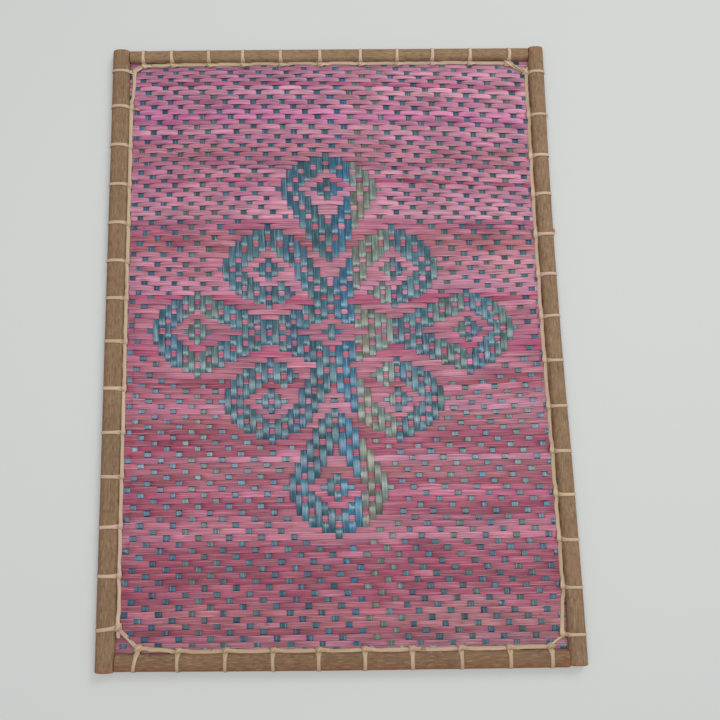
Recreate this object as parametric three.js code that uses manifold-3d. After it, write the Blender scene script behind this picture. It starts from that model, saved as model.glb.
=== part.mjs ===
// A flat woven placemat with four half-round split-cane rails round its edge, laced on with a pale cane
// strip in blanket stitch. Millimetres, +Z up. The mat lies flat, its long side along Y. The origin is
// under the middle of the mat, on the surface that it lies on.
import * as THREE from 'three';
import { mergeVertices } from 'three/addons/utils/BufferGeometryUtils.js';
import Module from 'manifold-3d';

const wasm = await Module();
wasm.setup();

// ---- driving dimensions ----
const MAT_WIDTH = 330;          // over the long rails' outer edges
const MAT_LENGTH = 455;         // over the long rails' ends
const OUT_OF_SQUARE = 0.6;      // degrees that the long sides lean, as lashed by hand
const SHEET_THICK = 1.2;        // two layers of split strips
const GAP = 0.3;                // left between touching pieces

const STRIP_WIDE = 2.8;         // the lacing strip
const STRIP_THICK = 0.7;
const KNOT_HALF_LONG = 2.5;     // half a knot's length along the rail
const KNOT_PROUD = 2.1;         // how far a knot reaches past the running strand's middle
const KNOT_THICK = 1.3;
const KNOT_SIDES = 8;

const RAIL_HIGH = 4.6;          // underside to crown
const RAIL_SHOULDER = 1.2;      // upright part of a rail's side
const CROWN_STEPS = 6;          // facets over a rail's crown
const RAIL_STATIONS = 12;       // lengths that a bowed rail is made of
const SLOT_EASE = 0.3;          // slot in the mat, wider than the strip all round
const FIELD_MARGIN = 22;        // from the outer edges in to the clear field, where a plate stands

// Heights of the layers, from the lacing's underside up.
const SHEET_Z = STRIP_THICK + GAP;
const SHEET_TOP = SHEET_Z + SHEET_THICK;
const RAIL_Z = SHEET_TOP + GAP;

// The four sides, taken anticlockwise from the top left corner. Along a side, s runs from its first
// corner and u runs inwards from the nominal outer edge.
//   turn       quarter turns from the left side
//   railWide   width of the rail
//   railEnds   s of the rail's two ends
//   bow        how far the rail stands inwards, at five even steps from its start to its end
//   strand     u of the running strand, from the rail's outer edge
//   ends       the same for the first and the last knot, which the corner runs pull
//   lean       sideways lean of the first and the last wrap, in degrees
//   stitches   s of each wrap, as laced by hand
const SIDES = [
  {
    name: 'left', turn: 0, railWide: 12.7, railEnds: [1, 454], bow: [-0.3, -0.4, -0.6, -0.7, -0.8],
    strand: 14.7, ends: [16.6, 14.6], lean: [0, 6],
    stitches: [18.5, 47.5, 78.5, 109, 139, 168, 196, 228, 262, 293, 324, 358, 391, 425],
  },
  {
    name: 'bottom', turn: 1, railWide: 11.6, railEnds: [12.8, 318.8], bow: [1.5, 0.6, 0, -0.2, -0.3],
    strand: 13.3, ends: [15, 13.8], lean: [-11, 0],
    stitches: [27.5, 55, 87, 119, 150, 181, 213, 246, 279, 307],
  },
  {
    name: 'right', turn: 2, railWide: 11.4, railEnds: [0.8, 452.7], bow: [-1.4, -0.4, 1.5, 1.8, 0.6],
    strand: 13.1, ends: [15.8, 13.8], lean: [0, 0],
    stitches: [21, 52, 84, 114.5, 144.5, 176, 209, 241, 272.5, 303, 334, 364.5, 397, 432],
  },
  {
    name: 'top', turn: 3, railWide: 9.6, railEnds: [12.5, 317], bow: [2.7, 2.3, 1.9, 1.6, 1.5],
    strand: 11.3, ends: [11.6, 11.8], lean: [0, 0],
    stitches: [27, 57, 86, 113, 141, 172, 202, 231, 257, 285, 307],
  },
];

const FINISHES = {
  mat: { color: 0xb4566f, roughness: 0.6 },
  rail: { color: 0x85694c, roughness: 0.85 },
  lacing: { color: 0xc7a67f, roughness: 0.7 },
};
const CORNER_RUNS = [
  // the side that owns the run, which of its knots it leaves, and the side and knot that it reaches
  { from: 'left', leaves: 'first', to: 'top', reaches: 'last' },
  { from: 'left', leaves: 'last', to: 'bottom', reaches: 'first' },
  { from: 'right', leaves: 'first', to: 'bottom', reaches: 'last' },
  { from: 'right', leaves: 'last', to: 'top', reaches: 'first' },
];

// ---- places along a side ----
const sideNamed = (name) => SIDES.find((side) => side.name === name);
const sideLength = (side) => (side.turn % 2 === 0 ? MAT_LENGTH : MAT_WIDTH);

// Inward shift of a rail at s: a smooth curve through its five steps.
function bowAt(side, s) {
  const curve = new THREE.SplineCurve(side.bow.map((shift, i) => new THREE.Vector2(i, shift)));
  return curve.getPoint(THREE.MathUtils.clamp(s / sideLength(side), 0, 1)).y;
}

// Side coordinates (s, u, z) to the object's own: a quarter turn for each side, then the lean.
function sideMatrix(side) {
  const alongLong = side.turn % 2 === 0;
  const half = { s: sideLength(side) / 2, u: (alongLong ? MAT_WIDTH : MAT_LENGTH) / 2 };
  const lean = Math.tan(THREE.MathUtils.degToRad(OUT_OF_SQUARE));
  return new THREE.Matrix4().makeShear(0, 0, -lean, 0, 0, 0)
    .multiply(new THREE.Matrix4().makeRotationZ((side.turn - 1) * Math.PI / 2))
    .multiply(new THREE.Matrix4().makeTranslation(-half.s, -half.u, 0));
}

function knotAt(side, index) {
  const last = side.stitches.length - 1;
  const s = side.stitches[index];
  const pulled = { 0: side.ends[0], [last]: side.ends[1] };
  const reach = pulled[index] ?? side.strand;
  return { s, u: reach + bowAt(side, s) };
}

const knots = (side) => side.stitches.map((_, index) => knotAt(side, index));

// ---- solids ----
function solid(geometry) {
  const bare = geometry.clone();
  bare.deleteAttribute('normal');
  bare.deleteAttribute('uv');
  const merged = mergeVertices(bare);
  return new wasm.Manifold(new wasm.Mesh({
    numProp: 3,
    vertProperties: new Float32Array(merged.attributes.position.array),
    triVerts: new Uint32Array(merged.index.array),
  }));
}

function geometryOf(manifold) {
  const mesh = manifold.getMesh();
  const geometry = new THREE.BufferGeometry();
  geometry.setAttribute('position', new THREE.BufferAttribute(mesh.vertProperties, 3));
  geometry.setIndex(new THREE.BufferAttribute(mesh.triVerts, 1));
  geometry.computeVertexNormals();
  return geometry;
}

function namedMesh(name, geometry, finish) {
  const mesh = new THREE.Mesh(geometry, new THREE.MeshStandardMaterial({ ...finish, metalness: 0 }));
  mesh.name = name;
  return mesh;
}

// A block lying along the run from one point to another, on z.
function run(from, to, wide, thick, z) {
  const block = new THREE.BoxGeometry(Math.hypot(to.s - from.s, to.u - from.u), wide, thick);
  block.rotateZ(Math.atan2(to.u - from.u, to.s - from.s));
  block.translate((from.s + to.s) / 2, (from.u + to.u) / 2, z + thick / 2);
  return block;
}

// ---- rails ----
// Half-round outline of a rail grown by a margin: upright sides, then an elliptical crown.
function crownPoints(wide, margin) {
  const points = [];
  for (let i = 0; i <= CROWN_STEPS; i += 1) {
    const angle = Math.PI * (1 - i / CROWN_STEPS);
    points.push(new THREE.Vector2(
      wide / 2 + (wide / 2 + margin) * Math.cos(angle),
      RAIL_Z + RAIL_SHOULDER + (RAIL_HIGH - RAIL_SHOULDER + margin) * Math.sin(angle),
    ));
  }
  return points;
}

// A rail is its outline carried through stations that follow its bow.
function railGeometry(side) {
  const [start, end] = side.railEnds;
  const outline = new THREE.Shape([
    new THREE.Vector2(0, RAIL_Z),
    ...crownPoints(side.railWide, 0),
    new THREE.Vector2(side.railWide, RAIL_Z),
  ]);
  const rail = new THREE.ExtrudeGeometry(outline, {
    depth: end - start, steps: RAIL_STATIONS, bevelEnabled: false,
  });
  // The outline's plane (u, z) and the depth along s.
  rail.applyMatrix4(new THREE.Matrix4().set(
    0, 0, 1, start,
    1, 0, 0, 0,
    0, 1, 0, 0,
    0, 0, 0, 1,
  ));
  const place = rail.attributes.position;
  for (let i = 0; i < place.count; i += 1) {
    place.setY(i, place.getY(i) + bowAt(side, place.getX(i)));
  }
  return rail;
}

// ---- lacing ----
// One wrap: a flat ring round the rail and the mat's edge, with a flat underside.
function wrapGeometry(side) {
  const ring = (margin, floor) => [
    new THREE.Vector2(-margin, floor),
    ...crownPoints(side.railWide, margin),
    new THREE.Vector2(side.railWide + margin, floor),
  ];
  const shape = new THREE.Shape(ring(GAP + STRIP_THICK, 0));
  shape.holes.push(new THREE.Path(ring(GAP, STRIP_THICK).reverse()));
  const wrap = new THREE.ExtrudeGeometry(shape, { depth: STRIP_WIDE, bevelEnabled: false });
  wrap.applyMatrix4(new THREE.Matrix4().set(
    0, 0, 1, -STRIP_WIDE / 2,
    1, 0, 0, 0,
    0, 1, 0, 0,
    0, 0, 0, 1,
  ));
  return wrap;
}

// A wrap leans by sliding along the rail, more the further it is from its knot.
function leanAt(side, index) {
  const last = side.stitches.length - 1;
  const degrees = { 0: side.lean[0], [last]: side.lean[1] }[index] ?? 0;
  return Math.tan(THREE.MathUtils.degToRad(degrees));
}

function placedWrap(side, index) {
  const { s } = knotAt(side, index);
  const lean = leanAt(side, index);
  return wrapGeometry(side).applyMatrix4(new THREE.Matrix4().set(
    1, -lean, 0, s + lean * (side.railWide + GAP + STRIP_THICK / 2),
    0, 1, 0, bowAt(side, s),
    0, 0, 1, 0,
    0, 0, 0, 1,
  ));
}

// A knot: a flat eight-sided pad on the mat, from the rail's foot to just past the strand.
function knotGeometry(side, knot, margin) {
  const inner = bowAt(side, knot.s) + side.railWide + GAP;
  const outer = knot.u + KNOT_PROUD;
  const pad = new THREE.CylinderGeometry(1, 1, KNOT_THICK + 2 * margin, KNOT_SIDES);
  pad.rotateX(Math.PI / 2);
  pad.rotateZ(Math.PI / KNOT_SIDES);
  pad.scale(KNOT_HALF_LONG + margin, (outer - inner) / 2 + margin, 1);
  pad.translate(knot.s, (inner + outer) / 2, RAIL_Z + KNOT_THICK / 2);
  return pad;
}

function sideLacing(side) {
  const stops = knots(side);
  const parts = [];
  stops.forEach((knot, index) => {
    parts.push(solid(placedWrap(side, index)), solid(knotGeometry(side, knot, 0)));
    if (index > 0) {
      parts.push(solid(run(stops[index - 1], knot, STRIP_WIDE, STRIP_THICK, RAIL_Z)));
    }
  });
  return parts.reduce((whole, part) => whole.add(part)).transform(sideMatrix(side).elements);
}

// The short run across a corner. It stops a gap short of the other side's knot.
function cornerRun({ from, leaves, to, reaches }) {
  const home = sideNamed(from);
  const away = sideNamed(to);
  const pick = (side, which) => knots(side).at(which === 'first' ? 0 : -1);
  const start = pick(home, leaves);
  const target = pick(away, reaches);
  const point = new THREE.Vector3(target.s, target.u, 0).applyMatrix4(sideMatrix(away));
  point.applyMatrix4(sideMatrix(home).invert());
  const strip = solid(run(start, { s: point.x, u: point.y }, STRIP_WIDE, STRIP_THICK, RAIL_Z));
  const keepOut = solid(knotGeometry(away, target, GAP)).transform(sideMatrix(away).elements);
  return strip.transform(sideMatrix(home).elements).subtract(keepOut);
}

function lacing(side) {
  const corners = CORNER_RUNS.filter((corner) => corner.from === side.name);
  return corners.reduce((whole, corner) => whole.add(cornerRun(corner)), sideLacing(side));
}

// ---- the woven sheet ----
// Its edge follows the rails' outer edges, with a slot at each wrap.
const onSheet = (side, s, u) => {
  const point = new THREE.Vector3(s, u, 0).applyMatrix4(sideMatrix(side));
  return new THREE.Vector2(point.x, point.y);
};

function sheetCorner(side, next) {
  // Where this side's outer edge meets the next one's.
  const s = sideLength(side) - bowAt(next, 0);
  return onSheet(side, s, bowAt(side, s));
}

function sheetOutline() {
  return SIDES.flatMap((side, i) => {
    const edge = [];
    for (let k = 1; k < RAIL_STATIONS; k += 1) {
      const s = sideLength(side) * k / RAIL_STATIONS;
      edge.push(onSheet(side, s, bowAt(side, s)));
    }
    return [...edge, sheetCorner(side, SIDES[(i + 1) % SIDES.length])];
  });
}

function slotPath(side, s) {
  const start = s - STRIP_WIDE / 2 - SLOT_EASE;
  const end = s + STRIP_WIDE / 2 + SLOT_EASE;
  const near = side.railWide + GAP - SLOT_EASE;
  const far = near + STRIP_THICK + 2 * SLOT_EASE;
  return new THREE.Path([
    onSheet(side, start, near + bowAt(side, start)), onSheet(side, start, far + bowAt(side, start)),
    onSheet(side, end, far + bowAt(side, end)), onSheet(side, end, near + bowAt(side, end)),
  ]);
}

// The clear field inside the lacing has a face of its own, joined to the border round it.
function sheetGeometry() {
  const field = SIDES.map((side) => onSheet(side, FIELD_MARGIN, FIELD_MARGIN));
  const border = new THREE.Shape(sheetOutline());
  border.holes.push(new THREE.Path(field));
  SIDES.forEach((side) => side.stitches.forEach((s) => border.holes.push(slotPath(side, s))));
  const [outer, inner] = [border, new THREE.Shape(field)].map((shape) => {
    const plate = new THREE.ExtrudeGeometry(shape, { depth: SHEET_THICK, bevelEnabled: false });
    return solid(plate.translate(0, 0, SHEET_Z));
  });
  return geometryOf(outer.add(inner));
}

// ---- the object ----
const placemat = new THREE.Group();
placemat.add(namedMesh('woven_mat', sheetGeometry(), FINISHES.mat));
SIDES.forEach((side) => {
  const rail = railGeometry(side).applyMatrix4(sideMatrix(side));
  placemat.add(namedMesh(`rail_${side.name}`, rail, FINISHES.rail));
  placemat.add(namedMesh(`lacing_${side.name}`, geometryOf(lacing(side)), FINISHES.lacing));
});

export default placemat;
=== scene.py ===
# A flat woven placemat: pink wefts over blue and green warps in a five-end satin with a flower of eight
# petals, half-round cane rails round its edge, laced on with a pale cane strip in blanket stitch.
import math

import bmesh
import bpy
import numpy as np
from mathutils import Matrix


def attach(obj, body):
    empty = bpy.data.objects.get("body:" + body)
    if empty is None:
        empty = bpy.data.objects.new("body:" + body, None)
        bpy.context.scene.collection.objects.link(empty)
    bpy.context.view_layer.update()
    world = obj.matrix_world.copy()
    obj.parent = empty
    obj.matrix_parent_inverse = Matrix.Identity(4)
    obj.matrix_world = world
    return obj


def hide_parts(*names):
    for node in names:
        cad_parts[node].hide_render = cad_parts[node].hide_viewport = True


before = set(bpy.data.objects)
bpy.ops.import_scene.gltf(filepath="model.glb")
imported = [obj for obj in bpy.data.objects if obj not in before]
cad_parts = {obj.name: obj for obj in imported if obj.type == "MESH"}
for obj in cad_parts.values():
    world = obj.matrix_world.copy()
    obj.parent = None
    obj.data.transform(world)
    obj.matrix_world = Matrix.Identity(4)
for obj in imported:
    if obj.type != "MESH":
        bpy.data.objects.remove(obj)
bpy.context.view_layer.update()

scene = bpy.context.scene


def placed(name, data):
    """A new object in the scene."""
    made = bpy.data.objects.new(name, data)
    scene.collection.objects.link(made)
    return made


# ---- camera ----
CAMERA_PLACE = (0.014668, -0.095703, 0.514967)
CAMERA_TURN = (0.15444, -0.00408, -0.01488)
SENSOR = 36

camera_data = bpy.data.cameras.new("camera")
camera_data.sensor_width = SENSOR
camera_data.lens = SENSOR
camera = placed("camera", camera_data)
camera.location = CAMERA_PLACE
camera.rotation_euler = CAMERA_TURN
scene.camera = camera

# ---- driving dimensions, in millimetres, as in the frame ----
MM = 0.001
MAT_WIDTH = 330
MAT_LENGTH = 455
OUT_OF_SQUARE = math.tan(math.radians(0.6))
GAP = 0.3
SHEET_Z = 1.0
SHEET_THICK = 1.2
SHEET_TOP = SHEET_Z + SHEET_THICK
SHEET_MIDDLE = SHEET_Z + SHEET_THICK / 2
RAIL_Z = SHEET_TOP + GAP
RAIL_HIGH = 4.6
RAIL_SHOULDER = 1.2

# The four sides, anticlockwise from the top left corner: s runs along a side, u inwards from its edge. Each
# has its rail's width and ends, how far it stands inwards at five steps (bow), how far in the cane runs from
# knot to knot (strand) and lies at the two end knots (pulled), and the slant of the two end wraps (lean).
SIDES = {
    "left": dict(
        turn=0, wide=12.7, ends=(1, 454), bow=(-0.3, -0.4, -0.6, -0.7, -0.8),
        strand=14.7, pulled=(16.6, 14.6), lean=(0, 6),
        stitches=(18.5, 47.5, 78.5, 109, 139, 168, 196, 228, 262, 293, 324, 358, 391, 425),
    ),
    "bottom": dict(
        turn=1, wide=11.6, ends=(12.8, 318.8), bow=(1.5, 0.6, 0, -0.2, -0.3),
        strand=13.3, pulled=(15, 13.8), lean=(-11, 0),
        stitches=(27.5, 55, 87, 119, 150, 181, 213, 246, 279, 307),
    ),
    "right": dict(
        turn=2, wide=11.4, ends=(0.8, 452.7), bow=(-1.4, -0.4, 1.5, 1.8, 0.6),
        strand=13.1, pulled=(15.8, 13.8), lean=(0, 0),
        stitches=(21, 52, 84, 114.5, 144.5, 176, 209, 241, 272.5, 303, 334, 364.5, 397, 432),
    ),
    "top": dict(
        turn=3, wide=9.6, ends=(12.5, 317), bow=(2.7, 2.3, 1.9, 1.6, 1.5),
        strand=11.3, pulled=(11.6, 11.8), lean=(0, 0),
        stitches=(27, 57, 86, 113, 141, 172, 202, 231, 257, 285, 307),
    ),
}


def box_of(side):
    """The mat's nominal length along a side, and its width across from it."""
    return (MAT_WIDTH, MAT_LENGTH) if side["turn"] % 2 else (MAT_LENGTH, MAT_WIDTH)


def bow_at(side, s):
    """How far a side stands inwards at s: a smooth curve through its five steps."""
    bow = np.array(side["bow"])
    last = len(bow) - 1
    t = np.clip(s / box_of(side)[0], 0, 1) * last
    i = np.minimum(t.astype(int), last - 1)
    w = t - i
    start, end = bow[i], bow[i + 1]
    slope_in = (end - bow[np.maximum(i - 1, 0)]) / 2
    slope_out = (bow[np.minimum(i + 2, last)] - start) / 2
    bend = (2 * start - 2 * end + slope_in + slope_out) * w**3
    return bend + (3 * end - 3 * start - 2 * slope_in - slope_out) * w**2 + slope_in * w + start


def squared(x, y, z):
    """A point of the nominal rectangle, leaned as the mat is, in metres."""
    x, y, z = np.broadcast_arrays(x, y, z)
    return np.stack([x - OUT_OF_SQUARE * y, y, z], -1) * MM


def on_side(side, s, u, z):
    """A point (s, u, z) of one side, in metres."""
    long, across = box_of(side)
    s, u = s - long / 2, u - across / 2
    c, d = ((0, -1), (1, 0), (0, 1), (-1, 0))[side["turn"]]
    return squared(c * s - d * u, d * s + c * u, z)


# ---- strips: a section carried along a path ----
# Each section is a closed outline of (place across, height): across runs from 0 to 1, height is a share
# of the thickness.
FLAT_STRIP = (
    (0, -0.25), (0.015, 0.3), (0.2, 0.44), (0.5, 0.5), (0.8, 0.44), (0.985, 0.3), (1, -0.25), (0.5, -0.5),
)
CANE_STRIP = (
    (0, 0), (0.12, 0.34), (0.5, 0.5), (0.88, 0.34), (1, 0), (0.88, -0.34), (0.5, -0.42), (0.12, -0.34),
)


def swept(left, right, lift, section):
    """Points of a section whose edges follow left and right, and whose height is along lift."""
    across, high = np.array(section).T[..., None]
    return left[..., None, :] * (1 - across) + right[..., None, :] * across + lift[..., None, :] * high


def slowly(at, values):
    """A slow change over the places at, through values that are evenly spread over them."""
    return np.interp(at, np.linspace(at[0], at[-1], len(values)), values)


def fibre_places(along, across, mark):
    """Where the points of strips lie among the fibres: along and across, in metres, and each one's mark."""
    return np.stack(np.broadcast_arrays(along, across, mark), -1)


def strips(name, groups, sharp):
    """A mesh of closed strips. A group is points (strips, stations, section, 3), with a fibre place and a
    dye for each point. Faces that meet at more than sharp degrees show an edge."""
    bm = bmesh.new()
    fibre_layer = bm.verts.layers.float_vector.new("fibre")
    # The dye layer holds each point's colour: its dye, with the painted light and shade laid on it.
    dye_layer = bm.verts.layers.float_color.new("dye")
    for group in groups:
        points, fibre, dye = np.broadcast_arrays(*group)
        count, stations, around, _ = points.shape
        for k in range(count):
            grid = bmesh.ops.create_grid(bm, x_segments=stations - 1, y_segments=around, size=0.5)
            for v in grid["verts"]:
                i = round((v.co.x + 0.5) * (stations - 1))
                j = round((v.co.y + 0.5) * around) % around
                v.co = points[k, i, j]
                v[fibre_layer] = fibre[k, i, j]
                v[dye_layer] = (*dye[k, i, j], 1)
            bmesh.ops.remove_doubles(bm, verts=grid["verts"], dist=1e-7)
    bmesh.ops.holes_fill(bm, edges=[e for e in bm.edges if e.is_boundary], sides=0)
    bmesh.ops.recalc_face_normals(bm, faces=bm.faces)
    mesh = bpy.data.meshes.new(name)
    bm.to_mesh(mesh)
    bm.free()
    mesh.shade_smooth()
    mesh.set_sharp_from_angle(angle=math.radians(sharp))
    return placed(name, mesh)


# ---- the weave's plan ----
# The strips are numbered from the top left corner of the field inside the lacing. The first four and the
# last few of each kind lie under the rails.
WARPS = np.arange(-4, 71)
WEFTS = np.arange(-4, 115)
SATIN_ENDS = 5  # the ground: each weft goes under one warp in five,
SATIN_STEP = 2  # and the next weft under the warp two further on
AXIS_WARP = 33
CENTRE_WEFT = 56

# The flower, charted as steps (warps from the axis, wefts from the centre) along its petals.
# Each step is one weft-over point with a small lozenge of warp floats round it.
PETALS = {
    "upright": (
        (0, 35), (2, 34), (4, 33), (5, 31), (6, 29), (5, 27), (4, 25), (3, 23), (2, 21), (1, 19), (0, 17),
    ),
    "sideways": (
        (28, 0), (27, 2), (26, 4), (24, 5), (22, 6), (20, 5), (18, 4), (16, 3), (14, 2), (12, 1), (10, 0),
        (8, 1), (6, 2), (4, 3), (2, 4), (0, 5),
    ),
    "slanting": (
        (10, 7), (8, 8), (12, 8), (14, 9), (15, 11), (16, 13), (15, 15), (14, 17), (12, 18), (10, 19),
        (8, 18), (6, 17), (5, 15), (4, 13), (3, 11), (2, 9), (1, 7), (0, 5),
    ),
}
LOZENGE = 2
EYES = ((0, 29), (22, 0), (10, 13))  # the petals' dark middles,
EYE_DARK = 2  # how far the dark reaches, and the weft-over ring round it
EYE_RING = 4
HEART_REACH = 5  # half the width of the flower's middle
HEART_TIE = (0, 3)  # one more weft-over point, above and below it
LONGEST_FLOAT = 5  # a longer one is tied down in its middle


def warp_over():
    """Which crossings show the warp, as (warps, wefts)."""
    d = (WARPS - AXIS_WARP)[:, None]
    e = WEFTS - CENTRE_WEFT
    steps = [step for petal in PETALS.values() for step in petal]

    def mirrored(places):
        return {(sd * pd, se * pe) for pd, pe in places for sd in (1, -1) for se in (1, -1)}

    def away(place):
        return abs(d - place[0]) + abs(e - place[1])

    flower = np.zeros((len(WARPS), len(WEFTS)), bool)
    for step in mirrored(steps):
        flower |= away(step) <= LOZENGE
    for step in mirrored([*steps, HEART_TIE]):
        flower[away(step) == 0] = False
    heart = abs(d) + 2 * abs(e) <= HEART_REACH
    flower[heart] = (away((0, 0)) <= 1)[heart]
    for eye in mirrored(EYES):
        ring = away(eye) <= EYE_RING
        flower[ring] = ((away(eye) >= 1) & (away(eye) <= EYE_DARK))[ring]
    for column in flower:
        for first, end in runs(column):
            if end - first > LONGEST_FLOAT:
                column[(first + end) // 2] = False

    near = heart.copy()
    for dw in (-1, 0, 1):
        for dr in (-1, 0, 1):
            near |= np.roll(flower, (dw, dr), (0, 1))
    for eye in mirrored(EYES):
        near |= away(eye) <= EYE_RING
    satin = (WARPS[:, None] - SATIN_STEP * WEFTS) % SATIN_ENDS == 0
    return flower | (satin & ~near)


def runs(row):
    """First and end of each stretch of True in a row."""
    edges = np.flatnonzero(np.diff(np.pad(row.astype(int), 1)))
    return list(zip(edges[::2], edges[1::2]))


# Where the strips lie, as beaten up by hand: x of every fifth warp near the top and the bottom, and y of
# every fifth weft at the left, the middle and the right.
STRIPS_APART = 5
WARP_LEVELS = (176, -210)
WARP_X = (
    (-147, -148), (-125.5, -124), (-106, -101), (-84.5, -80), (-63, -57), (-41, -34), (-19.5, -12.5),
    (5, 10.5), (30, 34), (51, 54), (73, 76), (96, 98.5), (116, 119.5), (139.5, 142),
)
WEFT_LEVELS = (-147, -3, 140)
WEFT_Y = (
    (211.3, 211.2, 206.8), (196.3, 195.7, 189.3), (176.3, 175.7, 170.2), (155.8, 155.2, 149.7),
    (138.8, 137.7, 131.8), (121.3, 121.2, 114.8), (103.5, 103.2, 99.3), (85.7, 85.3, 82.3),
    (65, 62.5, 62.5), (47, 44.5, 45), (29.5, 27.3, 28.5), (12, 9, 11), (-8, -11.3, -8.5),
    (-28.5, -31, -28.7), (-47, -48.5, -46.5), (-65.5, -66, -65), (-85.5, -86, -86),
    (-106, -106, -107.5), (-126, -127, -127.5), (-148, -148, -148.5), (-169, -169, -170),
    (-190, -190, -190), (-210, -210.5, -211),
)


def charted(table, n):
    """Where strips n lie at each level: between the charted ones, and carried straight on past them."""
    known = np.arange(len(table)) * STRIPS_APART
    for values in np.array(table).T:
        first, last = (values[1] - values[0]) / STRIPS_APART, (values[-1] - values[-2]) / STRIPS_APART
        beyond = np.minimum(n - known[0], 0) * first + np.maximum(n - known[-1], 0) * last
        yield np.interp(n, known, values) + beyond


def warp_x(w, y):
    """Where warp w lies at y."""
    top, bottom = charted(WARP_X, w)
    return top + (bottom - top) * (WARP_LEVELS[0] - y) / (WARP_LEVELS[0] - WARP_LEVELS[1])


def weft_y(r, x):
    """Where weft r lies at x: straight ends with a sag between them."""
    left, middle, right = charted(WEFT_Y, r)
    t = (x - WEFT_LEVELS[0]) / (WEFT_LEVELS[2] - WEFT_LEVELS[0])
    sag = 4 * t * (1 - t) * (middle - (left + right) / 2)
    return left + (right - left) * t + sag


# ---- the weave's strips ----
STRAW_THICK = 0.4
FOLD_SHARP = 23  # degrees between faces, past which a strip shows an edge
SWING = 0.25  # a strip's middle above or below the sheet's middle
FLOAT_RISE = 0.21  # further rise of a float's middle, for each crossing that it spans
RISE_PLAY = (0.8, 1.2)  # and how far that varies, as a share
BORDER_RISE = 0.15  # share of that rise left under the rails and the lacing
BORDER = (14, 20)  # from the mat's edges: where floats begin to rise, and where they do so fully
DEEPEST = 1.3  # how far a strip's middle may go below the sheet's, where it lies on the table
STATION = 0.33  # places of a crossing's two stations, from its middle
SEAM = 0.03  # open seam between two strips, each side
PINCH = (-0.15, 0.05)  # further opening where the other strip passes between them: wefts, warps
WANDER = 0.28 / 1.8  # how far a seam wanders in its slowest wave
WANDER_WAVES = ((2.3, 1), (6.1, 0.5), (17, 0.35))  # waves along a seam, and their size beside that
WAVE_PLAY = (0.7, 1.3)  # how far the number of waves varies from seam to seam
SEAM_PLAY = 0.16  # how far a whole seam is out of place
SEAM_STATIONS = 200
TILT = 0.05  # how far a float's edge is tipped up or down
EDGE_CLEAR = 0.4  # the strips' cut ends, inside the mat's edge
EDGE_RAGGED = 0.5
WEFT_LIMITS = (-226.2, 224.6)  # the outermost strips' outer edges, just inside the mat's,
WARP_LIMITS = (-164.8, 163.0)  # in y and in x


def wander(rng, seams, along):
    """Slow sideways wander of each seam, in waves of its own."""
    out = np.zeros((seams, len(along)))
    for waves, share in WANDER_WAVES:
        phase = rng.uniform(0, 2 * math.pi, (seams, 1))
        turns = waves * rng.uniform(*WAVE_PLAY, (seams, 1))
        out += share * np.sin(phase + 2 * math.pi * turns * along / (along[-1] - along[0]))
    return out * WANDER


def station_heights(rng, over, free):
    """Height of each station of strips that are on top where over is True. Where free is 1, floats rise
    in a bow."""
    high = np.repeat(np.where(over, SWING, -SWING), 2, axis=1)
    for k, row in enumerate(over):
        for shown, way in ((True, 1), (False, -1)):
            for first, end in runs(row == shown):
                span = end - first
                place = (np.arange(span)[:, None] + 0.5 + np.array([-STATION, STATION])).ravel() / span
                rise = FLOAT_RISE * min(span, LONGEST_FLOAT) * rng.uniform(*RISE_PLAY)
                bow = rise * 4 * place * (1 - place)
                high[k, 2 * first:2 * end] += way * bow * np.repeat(free[k, first:end], 2)
    return np.maximum(high, -DEEPEST)


def pinches(over):
    """Opening of the seams between strips, at each crossing: 1 where the other strip changes sides."""
    return np.pad(over[1:] != over[:-1], ((1, 1), (0, 0))).astype(float)


def floats_of(over):
    """A number for each float of each strip."""
    return np.cumsum(np.pad(over[:, 1:] != over[:, :-1], ((0, 0), (1, 0))), axis=1)


def per_float(rng, size, parts):
    """A random number for each float, at each of its places."""
    return np.take_along_axis(rng.normal(0, size, (len(parts), parts.max() + 1)), parts, 1)


def linear(code):
    """A colour as the shaders take it, from its usual six-figure code."""
    parts = [int(code[i:i + 2], 16) / 255 for i in (0, 2, 4)]
    return np.array([p / 12.92 if p <= 0.04045 else ((p + 0.055) / 1.055) ** 2.4 for p in parts])


# The dyes, and the stretches of strips that they are on: the last strip of each, and its dye.
DYES = {
    "orchid": "ba7c92", "bright_orchid": "c6769d", "deep_orchid": "b16c8b", "raspberry": "a9587a",
    "pale_rose": "c18698", "rose": "ab697a", "light_rose": "af7181", "warm_rose": "b3627c",
    "mauve": "a35e76", "dusky_rose": "9e5d67", "crimson": "a34c68", "wine": "95485c", "brick": "8f4354",
    "blue": "2e566b", "deep_blue": "28627e", "teal": "3d5f67", "dark_teal": "2f5865",
    "slate": "365b69", "moss": "4b625f", "tan": "70705d", "olive": "586456", "pale_green": "6a7970",
}
WEFT_DYES = {
    3: "orchid", 4: "raspberry", 6: "pale_rose", 7: "orchid", 8: "deep_orchid", 9: "orchid",
    11: "bright_orchid", 12: "deep_orchid", 14: "pale_rose", 15: "deep_orchid", 16: "orchid",
    18: "light_rose", 19: "rose", 20: "light_rose", 21: "mauve", 22: "orchid", 23: "pale_rose",
    24: "light_rose", 25: "crimson", 29: "orchid", 33: "pale_rose", 35: "mauve", 39: "dusky_rose",
    44: "light_rose", 48: "orchid", 50: "crimson", 55: "rose", 58: "mauve", 60: "crimson", 64: "rose",
    66: "brick", 69: "rose", 71: "orchid", 74: "dusky_rose", 75: "brick", 79: "wine", 80: "orchid",
    83: "dusky_rose", 84: "brick", 86: "warm_rose", 89: "wine", 93: "rose", 97: "wine", 100: "brick",
    103: "wine", 107: "dusky_rose", 108: "brick", 120: "rose",
}
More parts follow.
